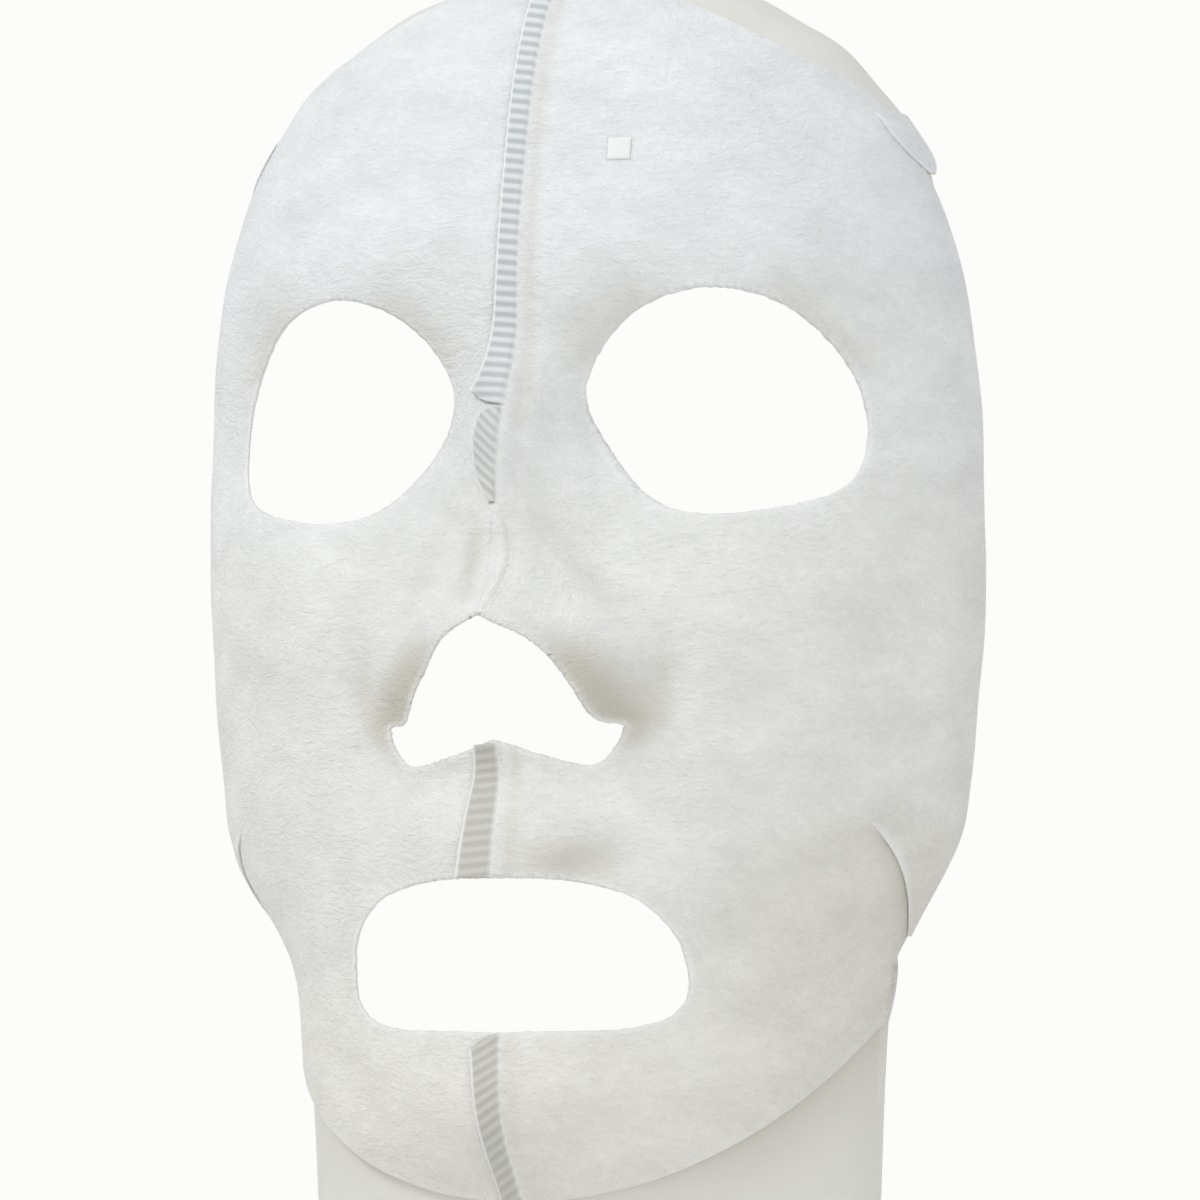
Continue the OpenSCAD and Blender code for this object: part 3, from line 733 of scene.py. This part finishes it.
# Each run's ends, and its root, width and lift as functions of the way down it. The forehead run widens
# into a pleat at its foot, and the bridge run comes out from under it.
SEAM_RUNS = {
    "forehead_seam": dict(
        z_from=CROWN_Z - CROWN_SHOW - 1, z_to=34.0, slant=0.10, rib_height=0.16, tail=3.2,
        root=lambda v: 2.1 - 0.8 * v, width=lambda v: 3.7 + 4.2 * v**9, lift=lambda v: 0.25 + 0.55 * v**6,
    ),
    "bridge_seam": dict(
        z_from=33.4, z_to=17.0, slant=0.9, rib_height=0.16, skew=1.0,
        root=lambda v: 0.9 - 0.5 * v, width=lambda v: 4.9 * np.sin(np.pi * (0.25 + 0.70 * v)),
        lift=lambda v: 0.75 - 0.4 * v,
    ),
    "lip_seam": dict(
        z_from=NOSE_TOP_Z - NOSE_H - 0.4, z_to=MOUTH_Z + MOUTH_H / 2 + 0.1, slant=-0.12, rib_height=0.14,
        root=lambda v: 0.5 + 0 * v, width=lambda v: 3.9 + 2.6 * v, lift=lambda v: 0.35 + 0 * v,
    ),
    "chin_seam": dict(
        z_from=MOUTH_Z - MOUTH_H / 2 - 0.3, z_to=CHIN_Z, slant=-0.6, rib_height=0.16, skew=3.0,
        root=lambda v: 0.5 + 0.4 * v, width=lambda v: 5.2 - 1.4 * v, lift=lambda v: 0.5 - 0.3 * v,
    ),
}
strips = [(node, seam_strip(node + "_ribs", **run)) for node, run in SEAM_RUNS.items()]
for node, strip in strips + [("nose_seam", nose_join())]:
    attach(strip, "mask")
    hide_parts(node)

# ---------------------------------------------------------------------------
# Slit flaps: the sheet is slit at the cheeks and temples so that it can bend
# round the head. The tongue above each slit is the same cloth, lies over the
# sheet below it and bends at its uncut root.
# ---------------------------------------------------------------------------


def flap(name, side, first, last, root_z, long, bow, lip):
    """Rows from the root down to the point; each row runs from the slit's lip, at first degrees round the
    form and drawn towards last down the slit, back to the rim. Each row eases up off the sheet from under
    it."""
    rows, cols = 60, 50
    rim, under = 87, 0.12
    v = np.linspace(-under, 1, rows)[:, None]
    down = np.clip(v, 0, 1)
    i = np.linspace(0, 1, cols)
    lo = first + (last - first) * down**bow
    hi = rim + (last + 2 - rim) * down**4
    angle = np.radians(lo + (hi - lo) * i)
    z = root_z - long * v
    off = -0.3 + 0.68 * ease((v + under) / (0.3 + 0.7 * i)) + lip * ease(2 * v) * (1 - i) ** 2
    x = side * half_width(z) * np.sin(angle)
    points = on_form(x, z, off + creases(x, z))
    from_lip = 0.2 + 6 * i + 0 * v
    # The tongues carry the same painted shade and paleness as the sheet, without the shade beside the slit.
    values = {"pale_cut_and_highlight": paleness_of_cuts_and_highlight(x, z, from_lip), "painted_shade": painted_shade_in_hollows(x, z, 99.0 + 0 * x, slit_share=0)}
    made = piece(name, points.reshape(-1, 3), grid_quads(rows, cols, side > 0), values=values)
    return thicken(made, SHEET_T)


# For each pair: the slit, how far its lip lifts, the hinge's x and y on the left, and the cut's flat size.
FLAPS = {
    "cheek_flap": dict(
        cut=dict(first=SLIT_FROM, last=SLIT_TO, root_z=SLIT_TOP_Z, long=SLIT_LONG, bow=1.0), lip=0.05,
        hinge=(0.0623, -0.0276), flat=(0.023, 0.026), area=0.00042,
    ),
    "temple_flap": dict(
        cut=dict(first=70, last=80, root_z=88.5, long=10.5, bow=2.5), lip=0.0,
        hinge=(0.0571, -0.0183), flat=(0.018, 0.013), area=0.00017,
    ),
}
for node, made_as in FLAPS.items():
    cut, (hinge_x, hinge_y) = made_as["cut"], made_as["hinge"]
    for side, hand in ((1, "left"), (-1, "right")):
        body = node + "_" + hand
        lip = made_as["lip"] if side > 0 else 0.2 * made_as["lip"]
        tongue = flap(body + "_cloth", side, lip=lip, **cut)
        tongue.data.materials.append(fibre_cloth)
        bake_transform(tongue)
        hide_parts(body)

# ---------------------------------------------------------------------------
# Forehead square: a small plain tab of smooth film, cut square and stuck flat
# to the sheet.
# ---------------------------------------------------------------------------


def forehead_square():
    """A square whose height falls off to the sheet at each edge as 1 - u^8."""
    n, half, middle_x, middle_z, film_t = 24, 2, 18, 79, 0.15
    u = np.linspace(-1, 1, n)
    x, z = np.meshgrid(middle_x + half * u, middle_z + half * u)
    fall = (1 - np.abs(u) ** 8)[:, None] * (1 - np.abs(u) ** 8)
    points = on_form(x, z, creases(x, z) + 0.12 + 0.25 * fall)
    return thicken(piece("forehead_square_film", points.reshape(-1, 3), grid_quads(n, n)), film_t)


film = Nodes("square_film")
square = forehead_square()
square.data.materials.append(film.finish(film.skin((0.70, 0.705, 0.70, 1), 0.5, 0.2)))
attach(square, "mask")
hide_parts("forehead_square")

# ---------------------------------------------------------------------------
# Studio: pale floor well below the mask, even white surround, a large soft
# light above and to the left, and a long lens a little below eye level.
# ---------------------------------------------------------------------------

FLOOR_HALF, FLOOR_DROP = 4, 0.25
floor_z = cad_box[0][2] - FLOOR_DROP
corners = [(x * FLOOR_HALF, y * FLOOR_HALF, floor_z) for x, y in ((-1, -1), (1, -1), (1, 1), (-1, 1))]
floor_mesh = bpy.data.meshes.new("floor")
floor_mesh.from_pydata(corners, [], [(0, 1, 2, 3)])
floor = bpy.data.objects.new("floor", floor_mesh)
bpy.context.scene.collection.objects.link(floor)
pale = Nodes("pale_floor")
matt = pale.add("ShaderNodeBsdfPrincipled", {"Base Color": (0.86, 0.855, 0.84, 1), "Roughness": 0.9})
floor_mesh.materials.append(pale.finish(matt.outputs[0]))


def studio_world():
    """A surround that lights from warm grey below to cool white above, and is even white where it is
    seen."""
    world = bpy.data.worlds.new("studio")
    world.use_nodes = True
    links, nodes = world.node_tree.links, world.node_tree.nodes
    nodes.clear()
    direction = nodes.new("ShaderNodeTexCoord")
    parts = nodes.new("ShaderNodeSeparateXYZ")
    height = nodes.new("ShaderNodeMapRange")
    height.inputs["From Min"].default_value = -0.7
    height.inputs["From Max"].default_value = 0.9
    tint = nodes.new("ShaderNodeMix")
    tint.data_type = "RGBA"
    tint.inputs[6].default_value = (0.42, 0.385, 0.34, 1)
    tint.inputs[7].default_value = (0.97, 1.0, 1.04, 1)
    surround = nodes.new("ShaderNodeBackground")
    surround.inputs["Strength"].default_value = 0.90
    seen = nodes.new("ShaderNodeBackground")
    seen.inputs["Color"].default_value = (0.973, 0.973, 0.956, 1)
    path = nodes.new("ShaderNodeLightPath")
    blend = nodes.new("ShaderNodeMixShader")
    out = nodes.new("ShaderNodeOutputWorld")
    links.new(direction.outputs["Generated"], parts.inputs[0])
    links.new(parts.outputs["Z"], height.inputs["Value"])
    links.new(height.outputs[0], tint.inputs[0])
    links.new(tint.outputs[2], surround.inputs["Color"])
    links.new(path.outputs["Is Camera Ray"], blend.inputs[0])
    links.new(surround.outputs[0], blend.inputs[1])
    links.new(seen.outputs[0], blend.inputs[2])
    links.new(blend.outputs[0], out.inputs[0])
    return world


bpy.context.scene.world = studio_world()


def soft_light(name, place, size, power, colour):
    """A round area light that looks at the origin."""
    lamp = bpy.data.lights.new(name, "AREA")
    lamp.shape, lamp.size, lamp.energy, lamp.color = "DISK", size, power, colour
    lamp_object = bpy.data.objects.new(name, lamp)
    lamp_object.location = place
    lamp_object.rotation_euler = (-Vector(place)).to_track_quat("-Z", "Y").to_euler()
    bpy.context.scene.collection.objects.link(lamp_object)


soft_light("key", (-1.1, -1.3, 1.7), 0.9, 27, (1.0, 0.995, 0.985))
soft_light("fill", (1.7, -1.3, 0.2), 1.5, 11, (1.0, 0.99, 0.97))

# The camera looks from the wearer's left and a little below. The image is taken to be 1200 across, and
# shows a millimetre as SCALE of it at 45 mm in front of the origin.
YAW, PITCH = math.radians(17), math.radians(-4)
DISTANCE, RAISED, FACE_AHEAD = 1.1, 0.0045, 45
SCALE, IMAGE_W, SENSOR_W = 5.8, 1200, 36
back = Vector((math.sin(YAW) * math.cos(PITCH), -math.cos(YAW) * math.cos(PITCH), math.sin(PITCH)))
right = Vector((math.cos(YAW), math.sin(YAW), 0))
up = back.cross(right)
lens = bpy.data.cameras.new("camera")
lens.sensor_width = SENSOR_W
lens.lens = SCALE * (DISTANCE * 1000 - FACE_AHEAD) * SENSOR_W / IMAGE_W
camera = bpy.data.objects.new("camera", lens)
place = back * DISTANCE + up * RAISED
rows = [(right[k], up[k], back[k], place[k]) for k in range(3)]
camera.matrix_world = Matrix(rows + [(0, 0, 0, 1)])
bpy.context.scene.collection.objects.link(camera)
bpy.context.scene.camera = camera
bpy.context.scene.view_settings.view_transform = "Standard"
